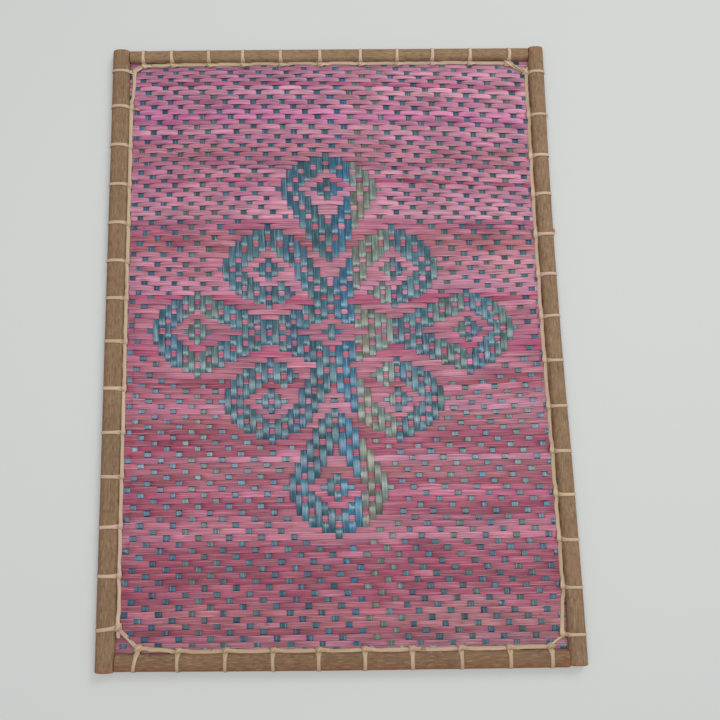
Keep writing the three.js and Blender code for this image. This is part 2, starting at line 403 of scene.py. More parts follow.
WARP_DYES = {
    8: "blue", 14: "moss", 18: "slate", 21: "teal", 23: "blue", 25: "teal", 28: "blue", 32: "dark_teal",
    33: "teal", 36: "deep_blue", 38: "tan", 39: "olive", 42: "pale_green", 44: "blue", 46: "teal",
    49: "slate", 54: "moss", 57: "blue", 59: "slate", 64: "moss", 80: "blue",
}
NEIGHBOUR_SHARE = 0.35  # how far a strip's dye may drift towards its neighbour's
SHADE_STRIP = 0.04  # lighter or darker, strip by strip
SHADE_FLOAT = 0.06  # and float by float
SHADE_DRIFT = 0.07  # and slowly along a strip
BLUSH = (0.08, 0.12)  # towards a paler or a deeper dye, float by float and slowly along
BLUSH_MOST = 0.6
BLUSHES = (("d492ac", "962c62"), ("5a8c9c", "0c3a58"))  # of the wefts and the warps: paler, deeper
DRIFT_PLACES = 14  # places along a strip, between which the slow changes run
EDGE_SHADE_BAND = 0.4  # the painted shade on a strip's edges begins at this share of its width from its middle
# Painted shade on a strip's edges, standing for the shade in the seams between strips: how much darker they
# are, from the first strip to the last: wefts, warps. Below 0, as in the lower wefts, the edges are painted
# lighter instead.
PAINTED_EDGE_SHADE = ((0.28, -0.1, -0.12), (0.15, 0.15))
# Places where the wefts are made deeper or paler, partly in their dye and partly as painted light and shade:
# paler at the right, deeper at the left, the top left and the bottom rows. For each: the x where it starts
# and where it is full; the y of its middle, its reach each way and the least share beyond; and the factor on
# the dye.
DYE_AND_LIGHT_PATCHES = (
    ((-30, -110), (-80, 60, 0.3), (0.9, 0.72, 0.78)),
    ((30, 90), (-190, 20, 0), (1.1, 1.38, 1.25)),
    ((-300, -200), (-212, 10, 0), (0.87, 0.93, 0.88)),
    ((40, -60), (205, 40, 0), (0.92, 0.9, 0.96)),
    ((75, 120), (62, 18, 0), (1.12, 1.2, 1.12)),
)
LONE_DYE = (0.74, 0.93, 0.97)  # the factor on a warp's dye where it shows as a single spot


def dye_of(number, table):
    """The plain dye of one strip."""
    return linear(DYES[next(dye for last, dye in table.items() if number <= last)])


def strip_dyes(rng, numbers, table, over):
    """A dye for each station of each strip, uneven from float to float and along the strip."""
    base = np.array([dye_of(n, table) for n in numbers])
    drift = rng.uniform(-NEIGHBOUR_SHARE, NEIGHBOUR_SHARE, (len(numbers), 1))
    base = base + (np.roll(base, 1, 0) - base) * np.abs(drift)
    parts = floats_of(over)
    by_float = per_float(rng, SHADE_FLOAT, parts)
    places = np.arange(over.shape[1])
    slow = np.array([slowly(places, rng.normal(0, SHADE_DRIFT, DRIFT_PLACES)) for _ in numbers])
    light = np.exp(by_float + slow + rng.normal(0, SHADE_STRIP, (len(numbers), 1)))
    turn = per_float(rng, BLUSH[0], parts)
    turn = (turn + [slowly(places, rng.normal(0, BLUSH[1], DRIFT_PLACES)) for _ in numbers])[..., None]
    pale, deep = (linear(c) for c in BLUSHES[table is WARP_DYES])
    base = base[:, None, :]
    paler, deeper = (np.clip(way * turn, 0, BLUSH_MOST) for way in (1, -1))
    base = base + (pale - base) * paler + (deep - base) * deeper
    return np.repeat(base * light[..., None], 2, axis=1)


def seam_places(rng, place, numbers, along):
    """Each seam's line: halfway between neighbours, with its own wander."""
    seams = np.append(numbers - 0.5, numbers[-1] + 0.5)
    width_play = rng.normal(0, SEAM_PLAY, (len(seams), 1))
    return place(seams[:, None], along[None, :]) + wander(rng, len(seams), along) + width_play


def woven(rng, numbers, crossing, over, line, cross_line, ends, limits, point, table):
    """The points, fibre coordinates and dyes of one set of strips. line(n, t) is a strip's place across at
    t along, cross_line(n, t) a crossing strip's place along, and point(along, across, z) a place in the
    frame. ends are the sides where the strips start and end, and the way of s on the first."""
    stations = (crossing[:, None] + np.array([-STATION, STATION])).ravel()
    middle = line(numbers, 0)
    along = cross_line(stations[None, :], middle[:, None])
    first, last, way = ends
    long, width = box_of(SIDES[first])
    low = (bow_at(SIDES[first], long / 2 + way * middle) - width / 2 + EDGE_CLEAR)[:, None]
    high = (width / 2 - bow_at(SIDES[last], long / 2 - way * middle) - EDGE_CLEAR)[:, None]
    ragged = rng.uniform(0, EDGE_RAGGED, (2, len(numbers), 1))
    along = np.clip(along, low + ragged[0], high - ragged[1])
    order = 1 if along[0, -1] > along[0, 0] else -1
    steady = np.linspace(along.min(), along.max(), SEAM_STATIONS)
    seams = seam_places(rng, line, numbers, steady)
    at, to = (
        np.array([np.interp(places, steady, seam) for places, seam in zip(along, edges)])
        for edges in (seams, seams[1:])
    )
    opening = np.repeat(pinches(over), 2, axis=1) * PINCH[table is WARP_DYES] + SEAM
    sense = np.sign(to.mean() - at.mean())
    at = at + sense * opening[:-1]
    to = to - sense * opening[1:]
    clear = np.minimum(along[:, ::2] - low, high - along[:, ::2])
    clear = np.minimum(clear, long / 2 - np.abs(middle)[:, None])
    free = np.clip((clear - BORDER[0]) / (BORDER[1] - BORDER[0]), BORDER_RISE, 1)
    z = SHEET_MIDDLE + station_heights(rng, over, free)
    tilt = per_float(rng, TILT, np.repeat(floats_of(over), 2, axis=1))
    lines = (point(along, np.clip(edge, *limits), z + up) for edge, up in ((at, -tilt), (to, tilt)))
    points = swept(*lines, np.array((0, 0, STRAW_THICK * MM)), FLAT_STRIP)
    across = np.array(FLAT_STRIP)[:, 0]
    wide = across * np.abs(to - at)[..., None]
    fibre = fibre_places(along[..., None] * MM, wide * MM, numbers[:, None, None] * order)
    # The strips' edges are painted darker, as shade in the seams; in the lower wefts they are painted
    # lighter.
    edge_shade = slowly(np.linspace(0, 1, len(numbers)), PAINTED_EDGE_SHADE[table is WARP_DYES])
    painted_edge_shade = 1 - edge_shade[:, None] * (np.abs(across - 0.5) > EDGE_SHADE_BAND)
    dyes = strip_dyes(rng, numbers, table, over)
    if table is WEFT_DYES:
        # Patches of painted light and shade over the wefts, which also shift their dye.
        for (start, full), (height, reach_y, least), dye in DYE_AND_LIGHT_PATCHES:
            share = np.clip((along - start) / (full - start), 0, 1)
            share = share * np.clip(1.5 - np.abs(middle - height) / reach_y, least, 1)[:, None]
            dyes = dyes * (1 + (np.array(dye) - 1) * share[..., None])
    else:
        lone = np.repeat(over & ~np.roll(over, 1, 1) & ~np.roll(over, -1, 1), 2, axis=1)[..., None]
        dyes = np.where(lone, dyes * LONE_DYE, dyes)
    return points, fibre, dyes[:, :, None, :] * painted_edge_shade[:, None, :, None]


over = warp_over()
weft_strips = woven(
    np.random.default_rng(11), WEFTS, WARPS, ~over.T, weft_y, warp_x, ("left", "right", -1), WEFT_LIMITS,
    squared, WEFT_DYES,
)
warp_strips = woven(
    np.random.default_rng(12), WARPS, WEFTS, over, warp_x, weft_y, ("bottom", "top", 1), WARP_LIMITS,
    lambda y, x, z: squared(x, y, z), WARP_DYES,
)


# ---- materials ----
NOISE_RANGE = (0.3, 0.7)  # most of a noise lies between these
FINE_TONES = (0.68, 1.26)  # factors on the dye, from fibre to fibre
PATCH_TONES = (0.82, 1.18)  # and from patch to patch
SPLIT_WIDE = 0.02  # a split between fibres: how wide it is in the noise, and its factor
SPLIT_TONE = 0.5
PALE_FIBRES = (0.55, 0.8, 0, 0.4)  # noise where pale fibres begin and are fullest; their shares there
ROUGH_PLAY = (-0.08, 0.1)
SHEEN_BASE = 0.62  # a sheen's colour before the dye's part is added
STRAW_BUMP = (0.12, 0.00006)  # strength, and depth in metres
CANE_BUMP = 0.5


def node(tree, kind, inputs, **settings):
    """A new shader node. Each input is a socket with its value, or with the output that goes into it."""
    made = tree.nodes.new("ShaderNode" + kind)
    for setting, value in settings.items():
        setattr(made, setting, value)
    for socket, value in inputs.items():
        if isinstance(value, bpy.types.NodeSocket):
            tree.links.new(value, made.inputs[socket])
        else:
            made.inputs[socket].default_value = value
    return made


def new_material(name):
    """A material, its node tree and shader, and the outputs with the strips' fibre places and dyes."""
    material = bpy.data.materials.new(name)
    material.use_nodes = True
    tree = material.node_tree
    fibre = node(tree, "Attribute", {}, attribute_name="fibre")
    dye = node(tree, "Attribute", {}, attribute_name="dye")
    return material, tree, tree.nodes["Principled BSDF"], fibre.outputs["Vector"], dye.outputs["Color"]


def noise(tree, fibre, scale, detail):
    """A noise among the fibres. scale is how fine it is along and across them, and from strip to strip."""
    place = node(tree, "Mapping", {"Vector": fibre, "Scale": scale})
    texture = node(tree, "TexNoise", {"Vector": place.outputs["Vector"], "Scale": 1, "Detail": detail})
    return texture.outputs["Fac"]


def spread(tree, value, *limits):
    """A value between the first two limits, brought to between the other two."""
    sockets = ("Value", "From Min", "From Max", "To Min", "To Max")
    return node(tree, "MapRange", dict(zip(sockets, (value, *limits)))).outputs["Result"]


def combined(tree, operation, first, second):
    return node(tree, "Math", {0: first, 1: second}, operation=operation).outputs["Value"]


def blended(tree, base, code, share):
    mix = node(tree, "Mix", {"Factor": share, "A": base, "B": (*linear(code), 1)}, data_type="RGBA")
    return mix.outputs["Result"]


def straw(name, scale_along, scale_across, pale, rough, gloss, tint):
    """Split straw: a dye with fine pale and dark fibres along the strip."""
    material, tree, shader, fibre, dye = new_material(name)
    fine = noise(tree, fibre, (scale_along, scale_across, 1.7), 2)
    patch = noise(tree, fibre, (scale_along * 2.2, scale_across / 6, 1.7), 1)
    split = noise(tree, fibre, (scale_along * 0.6, scale_across * 0.45, 1.7), 0)
    away = combined(tree, "ABSOLUTE", combined(tree, "SUBTRACT", split, 0.5), 0)
    shade = spread(tree, away, 0, SPLIT_WIDE, SPLIT_TONE, 1)
    for part, tones in ((fine, FINE_TONES), (patch, PATCH_TONES)):
        shade = combined(tree, "MULTIPLY", shade, spread(tree, part, *NOISE_RANGE, *tones))
    toned = node(tree, "VectorMath", {0: dye, "Scale": shade}, operation="SCALE").outputs["Vector"]
    colour = blended(tree, toned, pale, spread(tree, fine, *PALE_FIBRES))
    parts = {0: dye, 1: (tint,) * 3, 2: (SHEEN_BASE,) * 3}
    sheen = node(tree, "VectorMath", parts, operation="MULTIPLY_ADD")
    roughness = spread(tree, patch, *NOISE_RANGE, *(rough + play for play in ROUGH_PLAY))
    strength, depth = STRAW_BUMP
    bump = node(tree, "Bump", {"Strength": strength, "Distance": depth, "Height": fine})
    tree.links.new(colour, shader.inputs["Base Color"])
    tree.links.new(sheen.outputs["Vector"], shader.inputs["Specular Tint"])
    tree.links.new(roughness, shader.inputs["Roughness"])
    tree.links.new(bump.outputs["Normal"], shader.inputs["Normal"])
    shader.inputs["Specular IOR Level"].default_value = gloss
    return material


def fibrous(name, pale, dark, rough, fine_scale, patch_scale, contrast, bump_depth):
    """Cane or bark: long fibres, soft patches and a few dark specks over its own colour."""
    material, tree, shader, fibre, colour = new_material(name)
    along, across = fine_scale
    for tone, scale, detail, low, high, share in (
        (pale, (along, across, 1.3), 3, 0.5, 0.75, contrast),
        (dark, (along * 1.3, across * 0.8, 2.9), 3, 0.5, 0.72, contrast),
        (dark, (*patch_scale, 5.1), 2, 0.55, 0.8, contrast * 0.8),
        (dark, (across * 0.35, across * 0.8, 7.7), 1, 0.68, 0.74, contrast),
    ):
        part = spread(tree, noise(tree, fibre, scale, detail), low, high, 0, share)
        colour = blended(tree, colour, tone, part)
    fine = spread(tree, noise(tree, fibre, (along, across, 1.3), 3), *NOISE_RANGE, 0, 1)
    bump = node(tree, "Bump", {"Strength": CANE_BUMP, "Distance": bump_depth, "Height": fine})
    tree.links.new(colour, shader.inputs["Base Color"])
    tree.links.new(bump.outputs["Normal"], shader.inputs["Normal"])
    shader.inputs["Roughness"].default_value = rough
    return material


weft_straw = straw("weft straw", 30, 1500, "dcb0bc", 0.42, 0.5, 0.8)
warp_straw = straw("warp straw", 60, 1100, "a8bcc2", 0.29, 0.92, 1.5)
bark = fibrous("cane bark", "b0946c", "503a26", 0.8, (150, 1300), (260, 420), 0.55, 0.00014)
pale_cane = fibrous("pale cane", "e0c8a8", "8e7050", 0.5, (50, 1500), (90, 400), 0.3, 0.00006)


def put(piece, material, slot, *nodes):
    """Give a piece its material and hide the nodes that it stands in for. slot is not used."""
    piece.data.materials.append(material)
    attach(piece, "root")
    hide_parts(*nodes)


WEFTS_UPPER = 58  # how many strips lie in the first piece of each kind
WARPS_LEFT = 37
for (points, fibre, dye), material, split, names in (
    (weft_strips, weft_straw, WEFTS_UPPER, ("wefts_upper", "wefts_lower")),
    (warp_strips, warp_straw, WARPS_LEFT, ("warps_left", "warps_right")),
):
    for name, part in zip(names, (slice(split), slice(split, None))):
        piece = strips(name, [(points[part], fibre[part], dye[part])], FOLD_SHARP)
        put(piece, material, "mat", "woven_mat")

# ---- rails ----
RAIL_STEP = 6  # between a rail's stations
RAIL_INSET = 4  # from the rail's ends to the first and last of them
RAIL_CROWN = 12  # faces over a rail's crown
CROWN_FULL = 2.35  # the crown's fullness: 2 is an ellipse
RAIL_PLAY = 0.12  # unevenness of a rail's edges,
RAIL_HIGH_PLAY = 0.02  # and of its height, as a share, at every sixth station
RAIL_FLARE = 1.4  # how much wider the right rail is at its lower end,
FLARE_LONG = 60  # and over what length
RAIL_SHARP = 35
TONE_PLAY = (30, 0.05)  # a rail's tone: places where it changes, and how much
BAND_EDGE = 0.08  # a band's soft edge, as a share of the rail's width
BAND_PLAY = (18, 0.4)  # its strength: places where it changes, and the least share
END_BROWN = (1.2, 0.5)  # the browned cut ends: how far they reach, and how strong they are
# Each rail's tone, partly its own and partly painted light and shade: lighter at the top and the right,
# darker at the bottom.
RAIL_TONE_AND_LIGHT = {
    "left": (1.03, 1.02, 1.05), "bottom": (0.92, 0.88, 0.86), "right": (1.19, 1.25, 1.27),
    "top": (1.25, 1.3, 1.34),
}
# A rail's cut ends are rounded: (distance from the end, share of the full section), long and short rails.
RAIL_NOSES = (((0, 0.9), (0.25, 0.965), (0.8, 1)), ((0, 0.97), (0.12, 0.99), (0.3, 1)))
BARK, BARK_ORANGE, BARK_PALE, BARK_RED = (linear(c) for c in ("7e6147", "94592a", "a08c5c", "84503a"))
# Bands along the rails: (share across from its outer edge: from, to, colour, strength).
BANDS = {
    "left": ((0, 0.12, BARK_RED, 0.5), (0.93, 1, BARK_PALE, 0.5), (0.3, 0.5, BARK_PALE, 0.15)),
    "bottom": ((0, 0.18, BARK_ORANGE, 0.7), (0.18, 0.45, BARK_RED, 0.35)),
    "right": ((0.92, 1, BARK_ORANGE, 0.35), (0, 0.08, BARK_RED, 0.3)),
    "top": ((0, 0.12, BARK_ORANGE, 0.3), (0.5, 0.8, BARK_PALE, 0.25)),
}


def crown_place(angle):
    """A place on the crown's curve, a little fuller than an ellipse: (across from -1 to 1, height to 1)."""
    c, d = math.cos(angle), math.sin(angle)
    return math.copysign(abs(c) ** (2 / CROWN_FULL), c), abs(d) ** (2 / CROWN_FULL)


def rail_section():
    """Half-round: a flat underside, short upright sides and the crown, in shares of its box."""
    shoulder = RAIL_SHOULDER / RAIL_HIGH
    places = [crown_place(a) for a in np.linspace(math.pi, 0, RAIL_CROWN + 1)]
    return ((0, 0), *[((1 + x) / 2, shoulder + (1 - shoulder) * z) for x, z in places], (1, 0), (0.5, 0))


def rail_flare(name, s):
    """How much the right rail widens inwards towards its lower end."""
    return RAIL_FLARE * np.clip((FLARE_LONG - s) / FLARE_LONG, 0, 1) * (name == "right")


def rail(name, side, rng):
    """A rail with its bands of colour and its browned cut ends."""
    start, end = side["ends"]
    inner = np.arange(start + RAIL_INSET, end - RAIL_INSET, RAIL_STEP)
    nose, shares = np.array(RAIL_NOSES[side["turn"] % 2]).T
    s = np.concatenate([start + nose, inner, end - nose[::-1]])
    share = np.concatenate([shares, np.ones(len(inner)), shares[::-1]])
    play = np.cumsum(rng.normal(0, 1, (2, len(s))), axis=1)
    play = RAIL_PLAY * (play - play.mean(1, keepdims=True)) / np.abs(play).max(1, keepdims=True)
    half = (side["wide"] + rail_flare(name, s)) / 2
    middle, half = bow_at(side, s) + half, half * share
    outer, foot = (on_side(side, s, middle + u, RAIL_Z) for u in (play[0] - half, play[1] + half))
    high = RAIL_HIGH * share * (1 + RAIL_HIGH_PLAY * np.interp(s, s[::6], rng.normal(0, 1, len(s[::6]))))
    section = rail_section()
    points = swept(outer, foot, high[:, None] * (0, 0, MM), section)[None]
    across = np.array(section)[:, 0]
    fibre = fibre_places(s[:, None] * MM, across * side["wide"] * MM, side["turn"] * 3)
    count, most = TONE_PLAY
    slow = slowly(s, rng.normal(0, most, count))
    dye = BARK * RAIL_TONE_AND_LIGHT[name] * np.exp(slow)[:, None, None]
    count, least = BAND_PLAY
    for low, high, colour, strength in BANDS[name]:
        mask = np.clip(np.minimum(across - low, high - across) / BAND_EDGE + 1, 0, 1)
        uneven = slowly(s, rng.uniform(least, 1, count))
        weight = (strength * mask * uneven[:, None])[..., None]
        dye = dye * (1 - weight) + colour * weight
    reach, strength = END_BROWN
    ends = np.exp(-np.minimum(s - s[0], s[-1] - s) / reach)[:, None, None] * strength
    dye = dye * (1 - ends) + BARK_ORANGE * ends
    return strips(f"cane_rail_{name}", [(points, fibre, dye)], RAIL_SHARP)


# ---- lacing ----
CANE_THICK = 0.5
LOOSE_THICK = 0.35
WRAP_CLEAR = 0.05  # between a wrap and the rail
WRAP_PLAY = (0.92, 1.08)  # how far a wrap's width varies
WRAP_CROWN = (172, 12, 11)  # over the rail's crown: from and to, in degrees, and how many stations
UNDER_Z = 0.4  # middle of a wrap where it passes under the mat
# How a strand lies between its knots: how much nearer to the rail, the height of its middle, and how much
# higher its edge at the rail is.
STRAND_LIE = {
    "left": (0.5, 2.62, 0.35), "bottom": (0.6, 3.1, 0.6), "right": (0.1, 2.62, 0.35), "top": (0.5, 3.1, 0.5),
}
STRAND_PLACES = (0.26, 0.5, 0.74)  # its stations between the knots, as shares of the way
STRAND_PLAY = (0.88, 1.04)  # how far its width varies
END_SNUG = 0.3  # how much of the first figure is left beside a side's first and last knots
TOP_PULLED = ({5, 6}, 0.5)  # the top's knots where it is pulled nearer, and by how much
CANE_BEIGE, CANE_PINK, CANE_YELLOW, CANE_GREY, CANE_DARK, CANE_BROWN = (
    linear(code) for code in ("c4a88c", "c8a898", "c0aa88", "a8a8a0", "5a4230", "927256"))
CANE_EDGE_SHADE = (0.45, 0.55)  # how far from its middle a strip's edges are painted darker, as shade along its outline; the factor on its tone
CANE_SHARP = 50
STEPS = 3  # stations between two rungs
# The strip's course: its way along each side (1 with s, -1 against it), and a wrap's and a strand's width.
COURSE = {
    "left": (1, 2.15, 2.6), "bottom": (-1, 2.6, 2.7), "right": (-1, 2.15, 2.75), "top": (1, 2.4, 2.4),
}
# Each side's tone on the cane, partly its own and partly painted light and shade: the top and right ones are
# painted lighter where the rails' shadow falls on the strands, the bottom one darker as painted shade.
CANE_TONE_AND_LIGHT = {
    "left": (0.92, 0.92, 0.96), "bottom": (0.8, 0.77, 0.71), "right": (0.95, 0.95, 0.89),
    "top": (1.03, 1.05, 1.04),
}
WRAP_FAN = {"left": 1.35, "bottom": 1.6, "right": 1.5, "top": 1.4}  # a wrap's width at its knot, as a share

# Rungs of (along the way, inwards, height, heading, share of the strand's width) from a knot's middle.
# Heading is in degrees, from along the way towards inwards. A wrap's end bends into the strand:
BEND = ((0.3, -1.7, 3.5, 78, 1), (1.1, -1.15, 3.35, 56, 1.05), (2.4, -0.75, 3.15, 30, 1.05),
        (4.2, -0.5, 2.9, 8, 1, 0.3))
# and the strand that arrives crosses over to its inner side and dives into the slot.
CROSSING = ((-5.8, -0.4, 2.9, 2, 1, 0.3), (-4, -0.2, 3.45, 5, 1.05), (-2.3, 0.05, 3.8, 9, 1.15),
            (-0.7, 0.3, 3.65, 12, 1.2), (0.6, 0.5, 3.1, 16, 1.05), (1.4, 0.7, 2.1, 20, 0.8))
# A knot on a side rail is a short pad over them, and on the right one the strip's cut end is a barb.
PAD = ((-3.2, -0.3, 3, 4, 0.8), (-2.2, -0.1, 3.85, 8, 1.15), (-0.9, 0.05, 4.2, 12, 1.32),
       (0.5, 0.15, 4, 16, 1.22), (1.7, 0.25, 3.3, 20, 0.95), (2.4, 0.3, 2.9, 22, 0.7))
BARB = ((-0.2, -0.5, 4, -130, 0.35), (-1.3, -1.5, 4.1, -138, 0.32), (-2.3, -2, 4.6, -150, 0.2))
# The hitch's second turn, on the other side of the wrap.
TURN = ((-3.8, 0.1, 2.75, -8, 0.8), (-2.2, -0.35, 3.3, -32, 0.8), (-1, -1.25, 3.6, -58, 0.75),
        (-0.4, -2.3, 3.7, -75, 0.7))
# The crossed turns of a fuller knot, and the turn round them, whose outer edge lies lower.
FULL = (
    ((-2, -1.3, 3.3, 36, 0.65), (-0.9, -0.6, 4.05, 36, 0.75), (0.3, 0.2, 4.25, 38, 0.75),
     (1.4, 1.1, 3.6, 40, 0.7), (1.9, 1.6, 2.7, 42, 0.6)),
    ((-1.9, 1.6, 2.8, -42, 0.6), (-0.9, 1, 3.8, -42, 0.7), (0.1, 0.1, 4.45, -44, 0.72),
     (1.2, -0.9, 4.1, -46, 0.7), (1.8, -1.5, 3.6, -48, 0.6)),
)
RING_RADIUS = 1.35
RING = tuple(
    (RING_RADIUS * math.cos(a), RING_RADIUS * math.sin(a), 3.2 + 0.05 * k, math.degrees(a) + 90, 0.6, -0.4)
    for k in range(9) for a in [k * math.pi / 4 + 0.6]
)
# At a corner the run leaves or meets the knot slantwise.
SLANT_OUT = ((0.2, -1.3, 3.45, 84, 1), (0.8, -0.4, 3.4, 66, 1), (1.9, 0.9, 3.1, 46, 1))
SLANT_IN = ((-1.9, 1.6, 3.1, -46, 1), (-0.2, 0.2, 3.75, -32, 1.1), (1.8, -0.1, 3.5, -2, 1.1),
            (3.2, -0.1, 2.9, 4, 1), (4, -0.1, 2.4, 4, 0.8))
# Loose bits: side, knot, tone, width, points of (s, u, height, heading) from the knot's middle.
LOOSE = (
    ("left", 13, "pink", 2.5, ((2, 0, 2.9, 0), (3.6, 0, 2.85, 2), (5.6, 0.1, 2.75, 2), (7.2, 0.1, 2.65, 0))),
    ("left", 1, "pale", 0.55, ((0, 0.5, 3, 40), (0.5, 2.2, 2.9, 80), (1.1, 4.2, 2.75, 75),
                               (1.7, 6.2, 2.6, 75))),
    ("left", 1, "pale", 0.4, ((1, -3, 4.6, -80), (1.6, -4.2, 5.8, -80), (2.2, -5.2, 6.4, -80))),
    ("top", 7, "pink", 0.9, ((-0.9, -1.2, 3.9, -88), (-1.2, -2.4, 4.9, -88), (-1.4, -3.6, 6, -88))),
    ("top", 5, "pale", 0.35, ((0.6, 0.6, 3.6, 60), (1.2, 2, 3.5, 70), (1.2, 3.2, 2.9, 80))),
    ("top", 5, "pale", 0.35, ((-0.4, 0.6, 3.6, 100), (-1.2, 1.8, 3.7, 120), (-1.7, 3, 3, 100))),
    ("top", 5, "pink", 0.5, ((0.8, -0.6, 3.9, -40), (2, -1.3, 4.3, -30), (3, -1.6, 4.6, -20))),
    ("right", 12, "grey", 0.5, ((-0.8, -12.6, 5.9, -60), (0.2, -13.7, 4.6, -40), (1.4, -14.3, 3.9, -20))),
    ("right", 12, "grey", 0.4, ((0.9, -12.6, 5.9, -70), (0.8, -13.9, 4.5, -70), (0.1, -14.7, 3.6, -100))),
    ("right", 12, "pale", 0.4, ((-1.3, -12.8, 5.5, -90), (-1.6, -13.8, 4.2, -100), (-2.2, -14.4, 3.2, -120))),
    ("right", 9, "bark", 0.9, ((0.7, -13, 4.2, 0), (2.6, -13.5, 4.6, 5), (4.6, -13.4, 4.9, 0))),
    ("right", 9, "pale", 0.5, ((0.4, -13.9, 3.6, 0), (2, -14.3, 3.9, -5), (3.4, -14.2, 4, 0))),
    ("bottom", 1, "dark", 0.5, ((20.8, -1.6, 3.1, 50), (22, 0, 3.15, 50), (23.2, 1.4, 2.8, 50))),
    ("bottom", 6, "brown", 2.6, ((5.6, -0.9, 3.2, 8, 0.6), (7.2, -0.7, 3.6, 4, 0.6), (8.6, -0.6, 3.6, 0, 0.6),
                                 (9.6, -0.6, 3.2, 0, 0.6))),
)


def smooth_path(points):
    """A smooth curve through points, with a few stations between two of them."""
    gap = np.linalg.norm(np.diff(points, axis=0), axis=1)[:, None] + 1e-6
    slope = np.diff(points, axis=0) / gap
    turn = (slope[:-1] * gap[1:] + slope[1:] * gap[:-1]) / (gap[1:] + gap[:-1])
    tangent = np.concatenate([slope[:1], turn, slope[-1:]])
    t = np.linspace(0, 1, STEPS, endpoint=False)[:, None]
    out = []
    for a, b, da, db, h in zip(points, points[1:], tangent, tangent[1:], gap):
        rise = (2 * t**3 - 3 * t**2 + 1) * a + (3 * t**2 - 2 * t**3) * b
        out.append(rise + (t**3 - 2 * t**2 + t) * h * da + (t**3 - t**2) * h * db)
    return np.concatenate([*out, points[-1:]])


def rung(side, way, s, u, z, heading, wide, tip=0.0):
    """The two edges of a strip at (s, u, z), in metres. tip raises the edge at the rail."""
    angle = math.radians(heading)
    edges = np.array((-0.5, 0.5)) * wide
    return on_side(side, s + edges * math.sin(angle), u - way * edges * math.cos(angle),
                   z + way * tip * np.sign(edges))


def cane(rungs, tone, mark, thick=CANE_THICK, tips=(1, 1)):
    """One cane strip through its rungs. tips are its ends' widths, as shares, and mark is its own number."""
    edges = smooth_path(np.asarray(rungs).reshape(len(rungs), 6)).reshape(-1, 2, 3)
    middle = edges.mean(1)
    share = np.ones(len(edges))
    share[0], share[-1] = tips
    left, right = (middle + (edges[:, k] - middle) * share[:, None] for k in (0, 1))
    face = np.cross(right - left, np.gradient(middle, axis=0))
    face /= np.linalg.norm(face, axis=1, keepdims=True)
    points = swept(left, right, face * thick * MM, CANE_STRIP)[None]
    across = np.array(CANE_STRIP)[:, 0]
    along = np.cumsum(np.linalg.norm(np.diff(middle, axis=0, prepend=middle[:1]), axis=1))
    wide = np.linalg.norm(right - left, axis=1)
    fibre = fibre_places(along[:, None], across * wide[:, None], mark)
    # The strip's edges are painted darker, as shade along its outline.
    band, dark = CANE_EDGE_SHADE
    painted_edge_shade = np.where(np.abs(across - 0.5) > band, dark, 1.0)
    return points, fibre, tone * painted_edge_shade[:, None]


def cane_tones(rng, count):
    """Tones that drift slowly from stitch to stitch."""
    slow = np.interp(np.arange(count), np.linspace(0, count, 5), rng.normal(0, 0.8, 5))
    mix = np.clip(slow + rng.normal(0, 0.25, count), -1, 1)[:, None]
    pink = (CANE_PINK - CANE_BEIGE) * np.maximum(mix, 0)
    yellow = (CANE_YELLOW - CANE_BEIGE) * np.maximum(-mix, 0)
    return (CANE_BEIGE + pink + yellow) * np.exp(rng.normal(0, 0.05, (count, 1)))


def knot_at(side, index):
    """Where a knot stands: (s, u)."""
    last = len(side["stitches"]) - 1
    s = side["stitches"][index]
    reach = {0: side["pulled"][0], last: side["pulled"][1]}.get(index, side["strand"])
    return s, reach + float(bow_at(side, s))


def part_of_knot(name, index, way, shape, rng, grow=1.0, wide=None):
    """Rungs of one turn of a knot, each a little out of place."""
    s, u = knot_at(SIDES[name], index)
    wide = wide or COURSE[name][2]
    play = rng.normal(0, (0.1, 0.1, 0.03, 2, 0.03))
    rungs = []
    for ds, du, z, heading, share, *tip in shape:
        moved = s + way * (ds * grow + play[0] * min(1, abs(z - 2.6)))
        rungs.append(rung(SIDES[name], way, moved, u + du * grow, z + play[2], heading + play[3],
                          wide * share, *tip))
    return rungs


def wrap(name, index, rng):
    """From the slot under the mat and round its edge and the rail, to the rail's inner foot."""
    side = SIDES[name]
    s = side["stitches"][index]
    wide = COURSE[name][1] * rng.uniform(*WRAP_PLAY) + 0.5 * (name == "left") * s / MAT_LENGTH
    rest, rail_wide = float(bow_at(side, s)), side["wide"] + float(rail_flare(name, s))
    off = WRAP_CLEAR + CANE_THICK / 2
    crown = [(rail_wide / 2 + (rail_wide / 2 + off) * x,
              RAIL_Z + RAIL_SHOULDER + (RAIL_HIGH - RAIL_SHOULDER) * z + off * math.sin(a))
             for a in np.radians(np.linspace(*WRAP_CROWN)) for x, z in [crown_place(a)]]
    route = [(rail_wide + 1.2, 1.3), (rail_wide - 0.4, UNDER_Z + 0.1), (rail_wide - 2, UNDER_Z),
             (2.6, UNDER_Z), (0.8, UNDER_Z + 0.1), (-off, SHEET_Z + 0.3), (-off, RAIL_Z + 0.4), *crown]
    last = len(side["stitches"]) - 1
    lean = {0: side["lean"][0], last: side["lean"][1]}.get(index, 0) + rng.normal(0, 1.0)
    curl = rng.normal(0, 0.12)
    rungs = []
    for across, z in route:
        slide = -math.tan(math.radians(lean)) * (across - rail_wide)
        near = np.clip((across / rail_wide - 0.75) / 0.25, 0, 1) * (z > RAIL_Z)
        fan = 1 + (WRAP_FAN[name] - 1) * near ** 1.5
        rungs.append(rung(side, 1, s + slide + curl * math.sin(math.pi * across / rail_wide),
                          across + rest, z, 90, wide * fan))
    return rungs


